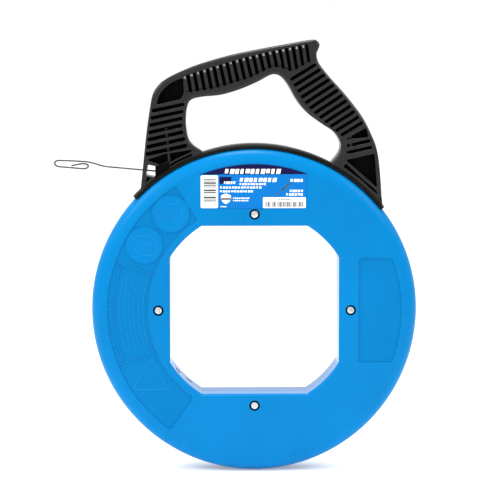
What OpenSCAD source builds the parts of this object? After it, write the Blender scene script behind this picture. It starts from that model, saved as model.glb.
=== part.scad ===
// Fish tape reel: a flat case of two halves that turns inside the shoe of a carrying handle,
// with a coil of steel tape in the case and the leading end of the tape out through the handle.
// The case axis is Y, the labelled face looks towards -Y, and Z is up.

/* [Case] */
// Outer radius of the case
case_radius = 161.5; // [160.5:0.5:162.5]
// Depth of both halves together
case_depth = 50; // [46:1:54]
// Radius of the rounded shoulder between the face and the rim
shoulder_radius = 15.5; // [14:0.5:17]
// Thickness of the moulded walls
case_wall = 2.8; // [2.4:0.1:3.2]
// Width of the slot round the rim, between the two halves
rim_slot = 9.2; // [9:0.1:10]

/* [Winding opening] */
// Width of the opening across its flats
opening_width = 167; // [160:1:170]
// Radius of the four arcs that cut the corners of the opening
opening_corner_radius = 98.5; // [97:0.5:99]
// Rounding of the front and rear edges of the opening
opening_edge = 4; // [2:0.5:5]
// Thickness of the drum wall that the tape is wound on
drum_wall = 3; // [2.5:0.1:3.5]

/* [Case fasteners] */
// Radius of the circle that the four case screws stand on
screw_circle = 95.2; // [94:0.1:95.6]
// Diameter of the case screw thread
case_screw_d = 4; // [3:0.5:4]
// Diameter of the pan head
pan_head_d = 8; // [7:0.1:8.4]
// Height of the pan head
pan_head_h = 2.8; // [2:0.1:3]
// Length of the case screw under its head
case_screw_length = 45; // [43:0.5:45]
// Diameter of the round recess that the head sits in
recess_d = 10.6; // [9:0.1:11]
// Depth of that recess
recess_depth = 3.2; // [3:0.1:4]
// Width of the hexagon nut across its flats
nut_width = 7; // [6:0.5:7]
// Height of the nut
nut_height = 3.2; // [2.4:0.1:3.4]

/* [Face details] */
// Depth of the shallow side panels
panel_depth = 0.8; // [0.4:0.1:1]
// Inner radius of the left panel
panel_inner = 105.7; // [104:0.1:108]
// Outer radius of the side panels
panel_outer = 147; // [145:0.5:147]
// Radius of the two raised discs in the left panel
disc_radius = 18.6; // [15:0.1:19]
// Width of the label
label_width = 104.4; // [90:0.1:106]
// Height of the lower edge of the label above the axis
label_bottom = 101; // [100.5:0.5:110]
// Radius of the curved upper edge of the label
label_top_radius = 145; // [140:0.5:145]
// Thickness of the label
label_thickness = 0.25; // [0.1:0.05:0.35]

/* [Tape] */
// Width of the tape, along the case axis
tape_width = 3.2; // [2.5:0.1:3.2]
// Thickness of the tape
tape_thickness = 1.5; // [1:0.1:1.6]
// Turns side by side in one layer of the coil
coil_columns = 8; // [6:1:10]
// Layers of the coil
coil_layers = 13; // [10:1:13]
// Distance from the case axis to the line that the tape runs out on
tape_line_radius = 127.4; // [127:0.1:128]
// Rise of the tape towards its outer end, in degrees
tape_rise = 5.2; // [5:0.1:5.4]

/* [Handle] */
// Thickness of the handle, along the case axis
handle_thickness = 32; // [30:1:34]
// Thickness of the web between the front and rear pockets
handle_web = 5; // [5:1:8]
// Width of the finger slots
slot_width = 3; // [2:0.1:3.2]

/* [Shoe] */
// Gap between the rim and the underside of the shoe
shoe_gap = 1.1; // [1:0.1:1.2]
// Thickness of the shoe
shoe_thickness = 2; // [1.6:0.1:2.2]
// Width of the shoe, along the case axis
shoe_width = 38; // [34:1:40]
// Running clearance of the runner and the wear strips
running_gap = 0.4; // [0.3:0.05:0.5]
// Width of the runner's neck, in the rim slot
neck_width = 8; // [7:0.1:8]

/* [Hidden] */
$fn = 96;

half_depth = case_depth / 2;
shoulder_r = case_radius - shoulder_radius;
shoulder_h = half_depth - shoulder_radius;
drum_radius = opening_corner_radius + drum_wall;
flat_half = opening_width / 2;
floor_y = half_depth - case_wall;
rim_inner = case_radius - case_wall;
boss_radius = 5.5;
label_centre_x = -1;
label_recess = label_thickness + 0.15;
nut_pocket_depth = 5;

// Angles of the face details, counted from +X towards +Z
left_panel_from = 122;
left_panel_to = 235;
left_dividers = [160.5, 201.8];
disc_angles = [130.7, 149.1];
disc_circle = 126.7;
divider_width = 1.2;
right_panel_x = 102.8;
right_panel_z = 52;

// Anchor slots in the drum wall
front_anchor_angle = 219.3;
rear_anchor_angle = 228.5;
anchor_slot_length = 6.6;

// Coil
layer_pitch = 1.75;
column_pitch = 3.4;
coil_outer = tape_line_radius - tape_thickness / 2 - 0.45;
coil_inner = coil_outer - coil_layers * layer_pitch;
tail_radius = drum_radius + 0.15 + tape_thickness / 2;

// The line that the tape runs out on: its foot on the case radius, and its direction
tape_foot = tape_line_radius * [sin(tape_rise), cos(tape_rise)];
tape_direction = [-cos(tape_rise), sin(tape_rise)];
lead_length = 152;

// Shoe and runner
shoe_inner = case_radius + shoe_gap;
shoe_outer = shoe_inner + shoe_thickness;
shoe_from = 38.3;
shoe_to = 136.8;
runner_from = 41;
runner_to = 134;
runner_top = rim_inner - running_gap;
runner_bottom = runner_top - 3.3;
runner_width = 21;
neck_break_from = 120.6;
neck_break_to = 125;
shoe_screw_d = 4;
shoe_screw_tip = 177;
shoe_screw_angles = [112.5, 57.5, 48];

// Handle outline, from the foot of the left leg over the grip to the foot of the right leg
handle_outer = [
  [-113.5, 108], [-112.5, 120], [-110.5, 138], [-108.5, 158], [-106, 179], [-103.5, 196],
  [-100.5, 212], [-95, 221.5], [-86.5, 228.5], [-71.5, 236], [-52, 243.5], [-22, 252],
  [10, 258.5], [35, 263], [55, 266.5], [61, 266], [64, 262.5], [63.5, 258.5], [61.3, 253],
  [62.2, 246.5], [66, 240], [74.5, 229.5], [85.5, 217.5], [96, 205], [107, 190],
  [116, 172.5], [121.5, 157.5], [124.5, 136], [126.6, 106], [127.5, 92]
];
// Hand opening, from its lower left corner over the top to its lower right corner
hand_opening = [
  [-42, 150], [-52.5, 157.5], [-60, 162.5], [-65, 169], [-67.2, 179.5], [-67.6, 190],
  [-66.3, 200.5], [-62.5, 207.5], [-52, 210.5], [-33, 212.5], [-14, 218], [3.5, 225.5],
  [13.5, 231], [20.3, 232.7], [26.7, 230], [33.2, 222], [41.7, 207.2], [52.5, 194.5],
  [67.5, 183.5], [78.5, 176], [84.5, 167], [85.3, 160.5], [82.6, 153.8], [77, 146.8], [68, 137]
];
// Fields that hold the slots, and the plain pockets beside them
grip_field = [
  [-70, 231.5], [-40, 241.5], [0, 251.7], [30, 258], [55, 263.5], [56, 246], [42, 237.5],
  [36, 234.5], [28, 238.5], [20, 239.5], [12, 237], [-4, 229], [-20, 224], [-36, 219.5],
  [-56, 216.5], [-66, 214.5]
];
left_field = [
  [-99.5, 197.5], [-68.5, 204.5], [-71, 189], [-71, 178], [-69, 168], [-66, 162.5],
  [-84, 156.5], [-106.5, 152.5], [-104, 172], [-102, 186]
];
right_field = [
  [35, 228], [60.5, 243.5], [66, 234], [78, 222.5], [92, 207.5], [104, 192], [107.5, 184],
  [85, 171.5], [76, 181], [60, 193], [48, 204]
];
right_lower_field = [[89.5, 168.5], [112, 179], [117, 160], [91, 154.5]];
top_left_pocket = [
  [-96.5, 203], [-94, 212.5], [-88, 219.5], [-80.5, 225], [-71.5, 229], [-70, 214], [-72, 208.5]
];
left_foot_pocket = [[-105.5, 148.5], [-61, 158.3], [-89.5, 144.5]];
right_foot_pocket = [[89.5, 149.5], [119.5, 154.5], [121.2, 121]];
tape_window = [
  [-105.5, 144], [-98, 142.2], [-84, 147], [-84, 120], [-98, 120], [-98, 131.2], [-107, 133.2]
];
guide_outline = [[-98, 120], [-98, 141.8], [-84.3, 146.4], [-84.3, 120]];
guide_width = 24;
guide_pin_length = guide_width - 6;

// Formed eye at the end of the tape, along the middle of its thickness
hook_route = [
  [-147, 141.4], [-153.5, 142.8], [-159, 144.6], [-165, 146], [-172, 146.6], [-184, 147.2],
  [-194, 147.4], [-197.4, 146.2], [-197.7, 143.5], [-195, 141.6], [-190, 141], [-182, 140.3],
  [-174, 139.6], [-168.5, 139.3], [-165.6, 140.3], [-164.8, 142.1], [-166.4, 143.7],
  [-171, 144.2], [-176, 143.3], [-181.5, 142.3]
];

// A smooth curve through a list of points
function curve_at(a, b, c, d, t) =
  0.5 * (2 * b + (c - a) * t + (2 * a - 5 * b + 4 * c - d) * t * t + (3 * b - a - 3 * c + d) * t * t * t);
function smooth(points, steps) = let (last = len(points) - 1) [
  for (i = [0:last - 1])
    for (s = [0:steps - 1])
      curve_at(points[max(i - 1, 0)], points[i], points[i + 1], points[min(i + 2, last)], s / steps),
  points[last]
];
function unit(v) = v / norm(v);
function heading(points, i) =
  unit(points[min(i + 1, len(points) - 1)] - points[max(i - 1, 0)]);
function side_line(points, offset) = [
  for (i = [0:len(points) - 1])
    let (h = heading(points, i)) points[i] + offset * [-h[1], h[0]]
];
function backwards(points) = [for (i = [len(points) - 1:-1:0]) points[i]];
function on_tape(distance) = tape_foot + distance * tape_direction;

// Extrudes an X-Z outline along Y
module across(from, to) {
  translate([0, to, 0])
    rotate([90, 0, 0])
      linear_extrude(to - from)
        children();
}
// Turns a radius-depth section round the case axis, with the depth towards -Y
module around(from, to) {
  rotate([90, 0, 0])
    rotate([0, 0, from])
      rotate_extrude(angle = to - from, $fn = 180)
        children();
}
module around_fully() {
  rotate([90, 0, 0])
    rotate_extrude($fn = 180)
      children();
}
// A cylinder along Y
module rod(x, z, from, to, diameter) {
  translate([x, to, z])
    rotate([90, 0, 0])
      cylinder(h = to - from, d = diameter);
}
// Puts its children on the case radius at an angle, with their Z pointing outwards
module outwards(angle, radius) {
  rotate([0, 90 - angle, 0])
    translate([0, 0, radius])
      children();
}
// Puts its children on the tape line, with their Z pointing along the tape
module along_tape(distance) {
  translate([on_tape(distance)[0], 0, on_tape(distance)[1]])
    rotate([0, -90 + tape_rise, 0])
      children();
}
// A flat strip that follows a route in the X-Z plane
module strip(route, thickness) {
  polygon(concat(side_line(route, thickness / 2), backwards(side_line(route, -thickness / 2))));
}

// Section of the rim, grown outwards by a gap
module rim_section(gap) {
  translate([shoulder_r, -shoulder_h])
    square([case_radius - shoulder_r + gap, 2 * shoulder_h]);
  for (side = [-1, 1])
    translate([shoulder_r, side * shoulder_h])
      circle(shoulder_radius + gap);
}
module rim_band(inner_gap, outer_gap, from, to) {
  intersection() {
    difference() {
      rim_section(outer_gap);
      rim_section(inner_gap);
    }
    translate([case_radius - 6, from])
      square([20, to - from]);
  }
}
module tape_passage(from, to) {
  along_tape(from)
    translate([-1.6, -2.6, 0])
      cube([3.2, 5.2, to - from]);
}
module opening_outline(grow) {
  intersection() {
    square(2 * (flat_half + grow), center = true);
    circle(opening_corner_radius + grow);
  }
}
// Section of the waste outside a rounded edge at the front face
module edge_waste() {
  difference() {
    translate([-1, half_depth - opening_edge])
      square([opening_edge + 1, opening_edge + 1]);
    translate([opening_edge, half_depth - opening_edge])
      circle(opening_edge);
  }
}
module opening_edge_rounding() {
  for (turn = [0:90:270])
    rotate([0, turn, 0])
      translate([flat_half, 0, -opening_corner_radius / 2 - 4])
        linear_extrude(opening_corner_radius + 8)
          mirror([0, 1])
            edge_waste();
  intersection() {
    around_fully()
      translate([opening_corner_radius, 0])
        edge_waste();
    cube([opening_width, 3 * case_depth, opening_width], center = true);
  }
}

// Front half of a case, without what differs between the two halves
module case_half() {
  difference() {
    around_fully()
      union() {
        translate([70, 0])
          square([shoulder_r - 70, half_depth]);
        translate([shoulder_r, 0])
          square([shoulder_radius, shoulder_h]);
        intersection() {
          translate([shoulder_r, shoulder_h])
            circle(shoulder_radius);
          translate([shoulder_r, 0])
            square([shoulder_radius, half_depth]);
        }
      }
    around_fully()
      union() {
        translate([drum_radius, -1])
          square([shoulder_r - drum_radius, floor_y + 1]);
        translate([shoulder_r - 1, -1])
          square([rim_inner - shoulder_r + 1, shoulder_h + 1]);
        translate([shoulder_r, shoulder_h])
          circle(shoulder_radius - case_wall);
      }
    around_fully()
      translate([shoulder_r, -1])
        square([40, rim_slot / 2 + 1]);
    across(-half_depth - 1, 1)
      opening_outline(0);
    across(-floor_y, 1)
      difference() {
        circle(opening_corner_radius);
        square(opening_width + 2 * case_wall, center = true);
        for (turn = [0:90:270])
          rotate(turn)
            translate([screw_circle, 0])
              circle(boss_radius);
      }
    opening_edge_rounding();
    for (turn = [0:90:270])
      rotate([0, turn, 0])
        rod(screw_circle, 0, -half_depth - 1, 1, case_screw_d + 0.4);
  }
}
module side_panels() {
  across(-half_depth - 1, -half_depth + panel_depth) {
    difference() {
      intersection() {
        difference() {
          circle(panel_outer);
          circle(panel_inner);
        }
        polygon([
          [0, 0],
          for (angle = [left_panel_from, 150, 180, 210, left_panel_to])
            200 * [cos(angle), sin(angle)]
        ]);
      }
      for (angle = left_dividers)
        rotate(angle)
          translate([0, -divider_width / 2])
            square([200, divider_width]);
      for (angle = disc_angles)
        rotate(angle)
          translate([disc_circle, 0])
            circle(disc_radius);
    }
    intersection() {
      circle(panel_outer);
      translate([right_panel_x, -right_panel_z])
        square([60, 2 * right_panel_z]);
    }
  }
}
module label_outline(border) {
  intersection() {
    circle(label_top_radius + border);
    translate([label_centre_x - label_width / 2 - border, label_bottom - border])
      square([label_width + 2 * border, 60]);
  }
}
module front_case() {
  color("dodgerblue")
    difference() {
      case_half();
      side_panels();
      across(-half_depth - 1, -half_depth + label_recess)
        label_outline(0.6);
      for (turn = [0:90:270])
        rotate([0, turn, 0])
          rod(screw_circle, 0, -half_depth - 1, -half_depth + recess_depth, recess_d);
      outwards(front_anchor_angle, opening_corner_radius)
        translate([-anchor_slot_length / 2, -8, -2])
          cube([anchor_slot_length, 6.6, 8]);
    }
}
module rear_case() {
  color("dodgerblue")
    difference() {
      mirror([0, 1, 0])
        case_half();
      for (turn = [0:90:270])
        rotate([0, turn, 0])
          translate([screw_circle, half_depth + 1, 0])
            rotate([90, 0, 0])
              cylinder(h = nut_pocket_depth + 1, d = (nut_width + 0.4) / cos(30), $fn = 6);
      outwards(rear_anchor_angle, opening_corner_radius)
        translate([-anchor_slot_length / 2, 1, -2])
          cube([anchor_slot_length, 5, 8]);
    }
}
module case_screw(angle) {
  head_top = -half_depth + recess_depth - pan_head_h;
  shank_start = -half_depth + recess_depth;
  color("silver")
    rotate([0, -angle, 0])
      difference() {
        union() {
          rod(screw_circle, 0, shank_start - pan_head_h * 0.55, shank_start, pan_head_d);
          translate([screw_circle, shank_start - pan_head_h * 0.55, 0])
            rotate([90, 0, 0])
              cylinder(h = pan_head_h * 0.45, d1 = pan_head_d, d2 = pan_head_d * 0.66);
          rod(screw_circle, 0, shank_start, shank_start + case_screw_length, case_screw_d);
        }
        for (turn = [0, 90])
          translate([screw_circle, head_top, 0])
            rotate([0, turn, 0])
              cube([4.6, 3.2, 1], center = true);
      }
}
module case_nut(angle) {
  nut_start = half_depth - nut_pocket_depth;
  color("silver")
    rotate([0, -angle, 0])
      difference() {
        translate([screw_circle, nut_start + nut_height, 0])
          rotate([90, 0, 0])
            cylinder(h = nut_height, d = nut_width / cos(30), $fn = 6);
        rod(screw_circle, 0, nut_start - 1, nut_start + nut_height + 1, case_screw_d);
      }
}
module front_label() {
  color("royalblue")
    across(-half_depth + label_recess - label_thickness, -half_depth + label_recess)
      label_outline(0);
}

// Coil of tape, with a groove between neighbouring turns on all sides of its section
module tape_coil() {
  coil_half = coil_columns * column_pitch / 2;
  color("dimgray")
    around_fully()
      difference() {
        translate([coil_inner, -coil_half])
          square([coil_outer - coil_inner, 2 * coil_half]);
        for (column = [1:coil_columns - 1])
          translate([coil_outer - 0.6, -coil_half + column * column_pitch - 0.1])
            square([1, 0.2]);
        for (layer = [1:coil_layers - 1])
          for (side = [-1, 1])
            translate([coil_inner + layer * layer_pitch - 0.1, side * coil_half - 0.5])
              square([0.2, 1]);
      }
}
// Inner end of the tape: it leaves the coil and turns in through the front anchor slot
module tape_tail() {
  tail_route = [
    for (angle = [200:3:215])
      tail_radius * [cos(angle), sin(angle)],
    (tail_radius + 0.1) * [cos(217.2), sin(217.2)],
    (opening_corner_radius + 2.6) * [cos(218.7), sin(218.7)],
    (opening_corner_radius + 0.6) * [cos(219.8), sin(219.8)]
  ];
  color("dimgray")
    across(-2.2 - tape_width, -2.2)
      strip(smooth(tail_route, 4), tape_thickness);
}

module slot_row(count, start, step, angle, length) {
  for (i = [0:count - 1])
    translate(start + i * step)
      rotate(angle)
        square([slot_width, length], center = true);
}
module handle_pockets() {
  intersection() {
    polygon(grip_field);
    for (i = [0:18])
      translate([-66.6 + 6.74 * i, 239])
        rotate(9)
          square([slot_width, 90], center = true);
  }
  intersection() {
    polygon(left_field);
    slot_row(7, [-84.5, 200], [-0.3, -6.9], 101.5, 60);
  }
  intersection() {
    polygon(right_field);
    slot_row(12, [48, 235], [4.4, -5.05], 121, 60);
  }
  intersection() {
    polygon(right_lower_field);
    slot_row(3, [102, 172], [0.6, -6.9], 103, 60);
  }
  polygon(top_left_pocket);
  polygon(left_foot_pocket);
  polygon(right_foot_pocket);
}
module shoe_space() {
  around_fully()
    union() {
      rim_section(shoe_gap + shoe_thickness);
      translate([0, -half_depth])
        square([shoulder_r, 2 * half_depth]);
    }
}
module handle_body() {
  half = handle_thickness / 2;
  color([0.2, 0.2, 0.21])
    difference() {
      union() {
        difference() {
          across(-half, half)
            difference() {
              polygon(smooth(handle_outer, 4));
              polygon(smooth(hand_opening, 4));
            }
          across(-half - 1, -handle_web / 2)
            handle_pockets();
          across(handle_web / 2, half + 1)
            handle_pockets();
        }
        for (angle = shoe_screw_angles)
          outwards(angle, shoe_outer - 4)
            cylinder(h = shoe_screw_tip - shoe_outer + 5, r = 4.5);
      }
      across(-half - 1, half + 1)
        polygon(tape_window);
      shoe_space();
      for (angle = shoe_screw_angles)
        outwards(angle, shoe_outer - 1)
          cylinder(h = shoe_screw_tip - shoe_outer + 1, d = shoe_screw_d);
      along_tape(108)
        cylinder(h = 30, d = 7);
    }
}
module handle_shoe() {
  color([0.23, 0.23, 0.24])
    difference() {
      around(shoe_from, shoe_to)
        rim_band(shoe_gap, shoe_gap + shoe_thickness, -shoe_width / 2, shoe_width / 2);
      for (angle = shoe_screw_angles)
        outwards(angle, runner_bottom)
          cylinder(h = 30, d = shoe_screw_d);
      tape_passage(80, 118);
    }
}
// T-shaped arc: its flange runs inside the rim and its neck stands in the rim slot
module shoe_runner() {
  color([0.16, 0.16, 0.17])
    difference() {
      around(runner_from, runner_to)
        union() {
          translate([runner_bottom, -runner_width / 2])
            square([runner_top - runner_bottom, runner_width]);
          translate([runner_top - 0.5, -neck_width / 2])
            square([shoe_inner - runner_top + 0.5, neck_width]);
        }
      around(neck_break_from, neck_break_to)
        translate([runner_top, -neck_width])
          square([20, 2 * neck_width]);
      for (angle = shoe_screw_angles)
        outwards(angle, runner_bottom) {
          cylinder(h = 2.2, d1 = 7.6, d2 = shoe_screw_d);
          cylinder(h = 30, d = shoe_screw_d);
        }
      tape_passage(80, 118);
    }
}
module wear_strip(side) {
  inner_edge = neck_width / 2 + 0.2;
  outer_edge = 12;
  color([0.1, 0.1, 0.1])
    difference() {
      around(runner_from, runner_to)
        rim_band(
          running_gap, shoe_gap,
          side > 0 ? inner_edge : -outer_edge,
          side > 0 ? outer_edge : -inner_edge
        );
      around(neck_break_from, neck_break_to)
        translate([case_radius, -20])
          square([20, 40]);
    }
}
module shoe_screw(angle) {
  color("silver")
    outwards(angle, runner_bottom)
      difference() {
        union() {
          cylinder(h = 2.2, d1 = 7.6, d2 = shoe_screw_d);
          cylinder(h = shoe_screw_tip - runner_bottom - 1, d = shoe_screw_d);
        }
        for (turn = [0, 90])
          rotate(turn)
            cube([4, 0.9, 2.6], center = true);
      }
}
// Block that steers the tape out of the shoe, under a steel cross pin moulded into it
module tape_guide() {
  color([0.08, 0.08, 0.08])
    difference() {
      across(-guide_width / 2, guide_width / 2)
        polygon(guide_outline);
      shoe_space();
      tape_passage(90, 125);
      guide_pin_rod(guide_pin_length);
    }
}
module guide_pin_rod(length) {
  pin_d = 3;
  pin = on_tape(106.5) + (tape_thickness / 2 + 0.3 + pin_d / 2) * [sin(tape_rise), cos(tape_rise)];
  rod(pin[0], pin[1], -length / 2, length / 2, pin_d);
}
module guide_pin() {
  color("lightgray")
    guide_pin_rod(guide_pin_length);
}
// Steel bush in the outer wall of the left leg, cut to the slope of the wall
module exit_bush() {
  color("gray")
    intersection() {
      along_tape(108)
        difference() {
          cylinder(h = 30, d = 7);
          translate([0, 0, -1])
            cylinder(h = 32, d = 4.4);
        }
      difference() {
        across(-10, 10)
          polygon(smooth(handle_outer, 4));
        across(-11, 11)
          polygon(tape_window);
      }
    }
}
module tape_lead() {
  color([0.3, 0.31, 0.34])
    along_tape(0)
      translate([-tape_thickness / 2, -tape_width / 2, 0])
        cube([tape_thickness, tape_width, lead_length]);
}
module tape_hook() {
  color([0.3, 0.31, 0.34])
    across(-tape_width / 2, tape_width / 2)
      strip(smooth(concat([on_tape(lead_length), on_tape(lead_length + 3)], hook_route), 3), tape_thickness);
}

front_case();
rear_case();
case_screw(90);  // case_screw_top
case_screw(180);  // case_screw_left
case_screw(270);  // case_screw_bottom
case_screw(0);  // case_screw_right
case_nut(90);  // case_nut_top
case_nut(180);  // case_nut_left
case_nut(270);  // case_nut_bottom
case_nut(0);  // case_nut_right
front_label();
tape_coil();
tape_tail();
handle_body();
handle_shoe();
shoe_runner();
wear_strip(1);  // front_wear_strip
wear_strip(-1);  // rear_wear_strip
shoe_screw(shoe_screw_angles[0]);  // shoe_screw_left
shoe_screw(shoe_screw_angles[1]);  // shoe_screw_middle
shoe_screw(shoe_screw_angles[2]);  // shoe_screw_right
tape_guide();
guide_pin();
exit_bush();
tape_lead();
tape_hook();
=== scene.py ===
"""Fish tape reel: the finished pieces of the reel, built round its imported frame.

Sections and outlines are in millimetres and X-Z; each piece is scaled to metres when it is done.
"""

import math

import bmesh
import bpy
from mathutils import Matrix, Vector


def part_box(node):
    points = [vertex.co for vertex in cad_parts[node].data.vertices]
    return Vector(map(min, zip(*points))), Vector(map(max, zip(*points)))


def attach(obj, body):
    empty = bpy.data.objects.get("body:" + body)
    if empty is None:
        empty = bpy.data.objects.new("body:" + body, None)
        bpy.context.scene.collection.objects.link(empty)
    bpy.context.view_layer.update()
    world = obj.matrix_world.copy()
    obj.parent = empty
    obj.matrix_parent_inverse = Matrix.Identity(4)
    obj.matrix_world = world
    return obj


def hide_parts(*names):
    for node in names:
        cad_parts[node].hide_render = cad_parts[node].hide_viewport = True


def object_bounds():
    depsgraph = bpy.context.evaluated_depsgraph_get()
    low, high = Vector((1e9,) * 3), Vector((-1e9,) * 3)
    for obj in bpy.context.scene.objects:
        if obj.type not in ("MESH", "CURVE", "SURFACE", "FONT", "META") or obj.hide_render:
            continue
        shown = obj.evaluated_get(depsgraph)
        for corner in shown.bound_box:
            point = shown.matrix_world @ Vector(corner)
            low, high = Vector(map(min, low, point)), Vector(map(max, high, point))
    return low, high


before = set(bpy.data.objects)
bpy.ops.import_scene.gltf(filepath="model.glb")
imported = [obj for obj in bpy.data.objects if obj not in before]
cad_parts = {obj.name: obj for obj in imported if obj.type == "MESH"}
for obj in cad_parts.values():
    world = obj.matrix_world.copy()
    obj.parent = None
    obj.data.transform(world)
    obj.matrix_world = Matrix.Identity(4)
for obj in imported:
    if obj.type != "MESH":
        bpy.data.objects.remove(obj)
frame_low, frame_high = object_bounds()

bl_info = {
    "name": "Fish Tape Reel",
    "version": (1, 0, 0),
    "blender": (4, 5, 0),
    "location": "View3D > Sidebar > Fish Tape",
    "description": "Builds the case, handle, tape and label of a fish tape reel",
    "category": "Add Mesh",
}

MM = 0.001
SPIN_STEPS = 240
case_low, case_high = (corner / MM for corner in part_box("front_case"))
CASE_RADIUS = case_high.x
HALF_DEPTH = -case_low.y
HANDLE_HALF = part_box("handle_body")[1].y / MM
SHOE_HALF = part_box("handle_shoe")[1].y / MM
SCREW_CIRCLE = (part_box("case_screw_top")[0].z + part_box("case_screw_top")[1].z) / 2 / MM
LABEL_LOW, LABEL_HIGH = (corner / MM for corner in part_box("front_label"))
COIL_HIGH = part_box("tape_coil")[1] / MM
COIL_INNER = 103.4
DRUM_WALL = 3

# Finishes of the case, and their places in its list of materials; the edge, recess and wall finishes
# are painted highlight, painted shade and painted sheen
CASE_FINISHES = ("case_gloss", "case_texture", "case_ridge_highlight", "case_recess_painted_shade", "case_wall")
TEXTURE, RIDGE_HIGHLIGHT, PAINTED_SHADE, PAINTED_SHEEN = 1, 2, 3, 4

# Details of the front face: the two discs stand on the left panel, the dividers cross it
PANEL_INNER = 105.7
LEFT_PANEL_ANGLES = (122, 235)
RIGHT_PANEL_SIDE = 102.8
RIGHT_PANEL_HALF = 52
DISC_ANGLES = (130.7, 149.1)
DISC_CIRCLE = 126.7
DISC_RADIUS = 18.6
DISC_DEPTH = 0.3
DIVIDER_ANGLES = (160.5, 201.8)
SCREW_RECESS_RADIUS = 5.2
SCREW_RECESS_DEPTH = 3.2
SCREW_HEAD_HEIGHT = 2.8
NUT_POCKET_RADIUS = 4.27
NUT_POCKET_DEPTH = 5

# Slots for the tape's inner end: angle, front and rear depth
FRONT_ANCHOR = (219.3, -8, -1.4)
REAR_ANCHOR = (228.5, -6, -1)
ANCHOR_HALF_LENGTH = 3.3

# The straight line that the tape leaves on: how far it passes from the axis, and its rise
TAPE_LINE_RADIUS = 127.4
TAPE_RISE = 5.2
LEAD_LENGTH = 152

# The shoe round the rim
SHOE_GAP = 1.1
SHOE_THICKNESS = 2
SHOE_ANGLES = (38.3, 136.8)

CAMERA_TARGET = (-4.08, 0, 57.87)

# Outline of the handle, from the foot of the left leg over the grip to the foot of the right leg
HANDLE_OUTLINE = [
    (-113.5, 108), (-112.5, 120), (-110.5, 138), (-108.5, 158), (-106, 179), (-103.5, 196),
    (-100.5, 212), (-95, 221.5), (-86.5, 228.5), (-71.5, 236), (-52, 243.5), (-22, 252),
    (10, 258.5), (35, 263), (55, 266.5), (61, 266), (64, 262.5), (63.5, 258.5), (61.3, 253),
    (62.2, 246.5), (66, 240), (74.5, 229.5), (85.5, 217.5), (96, 205), (107, 190),
    (116, 172.5), (121.5, 157.5), (124.5, 136), (126.6, 106), (127.5, 92),
]
HAND_OPENING = [
    (-42, 150), (-52.5, 157.5), (-60, 162.5), (-65, 169), (-67.2, 179.5), (-67.6, 190),
    (-66.3, 200.5), (-62.5, 207.5), (-52, 210.5), (-33, 212.5), (-14, 218), (3.5, 225.5),
    (13.5, 231), (20.3, 232.7), (26.7, 230), (33.2, 222), (41.7, 207.2), (52.5, 194.5),
    (67.5, 183.5), (78.5, 176), (84.5, 167), (85.3, 160.5), (82.6, 153.8), (77, 146.8), (68, 137),
]
# Ends of the rows of slots: each list is one side of a row, first slot to last
GRIP_SLOT_TOPS = [(-65.6, 232.5), (-7.3, 249.9), (51, 262.4)]
GRIP_SLOT_FEET = [
    (-62.5, 215), (-42.3, 218.1), (-22.5, 223.4), (-3.8, 229.3), (15.3, 238.3), (25, 239.2),
    (36.1, 235.6), (42, 237.8), (53.5, 244.2),
]
FIRST_GRIP_RIB = [(-68.9, 231), (-65.8, 214)]
LEFT_SLOT_OUTER = [(-101, 196.6), (-104.5, 175.4), (-107.3, 154)]
LEFT_SLOT_INNER = [(-68.9, 203.2), (-71.1, 182.5), (-66.3, 162.9)]
RIGHT_SLOT_INNER = [(35.3, 227.2), (54.1, 199.3), (85.3, 172.6)]
RIGHT_SLOT_OUTER = [(60.4, 242.5), (82.9, 217.2), (106.9, 185.8)]
RIGHT_FOOT_SLOTS = [((91.2, 162.1), (114.7, 167.5)), ((91.2, 155.4), (116.4, 161))]
FOOT_RIDGE = [(82.6, 143.6), (88.4, 147)]
SIDE_POCKETS = [
    [(-96.5, 202.8), (-93.9, 212.4), (-88, 219.7), (-80.6, 225.1), (-70.4, 229.3), (-69.4, 214.4),
     (-72.1, 208.6)],
    [(-105.9, 148.5), (-88.3, 154.4), (-60.8, 158.6), (-63.4, 156), (-77.6, 149.4), (-90.2, 142.2),
     (-95.6, 144.8)],
    [(89.5, 168.6), (110.3, 180.3), (112.6, 170.6)],
    [(90.2, 148.2), (118.6, 154.6), (121.2, 121)],
]
FOOT_GROOVES = [
    [(-62, 154.6), (-75.5, 148.4), (-88, 141.2), (-87, 139.6), (-74.7, 146.7), (-61.3, 152.8)],
    [(90.4, 144.8), (104.4, 131.6), (120.8, 117.6), (121.4, 114.2), (104.2, 129.7), (88, 141.6)],
    [(-105.9, 131.6), (-101.8, 130.6), (-107.4, 125.8)],
]
TAPE_WINDOW = [
    (-105.3, 144), (-97.3, 142.2), (-84, 147), (-84, 120), (-98, 120), (-98, 131.2), (-107, 133.2),
]
# Formed eye at the end of the tape, along the middle of its thickness
HOOK_ROUTE = [
    (-147, 141.4), (-153.5, 142.8), (-159, 144.6), (-165, 146), (-172, 146.6), (-184, 147.2),
    (-194, 147.4), (-197.4, 146.2), (-197.7, 143.5), (-195, 141.6), (-190, 141), (-182, 140.3),
    (-174, 139.6), (-168.5, 139.3), (-165.6, 140.3), (-164.8, 142.1), (-166.4, 143.7),
    (-171, 144.2), (-176, 143.3), (-181.5, 142.3),
]


# Settings


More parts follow.
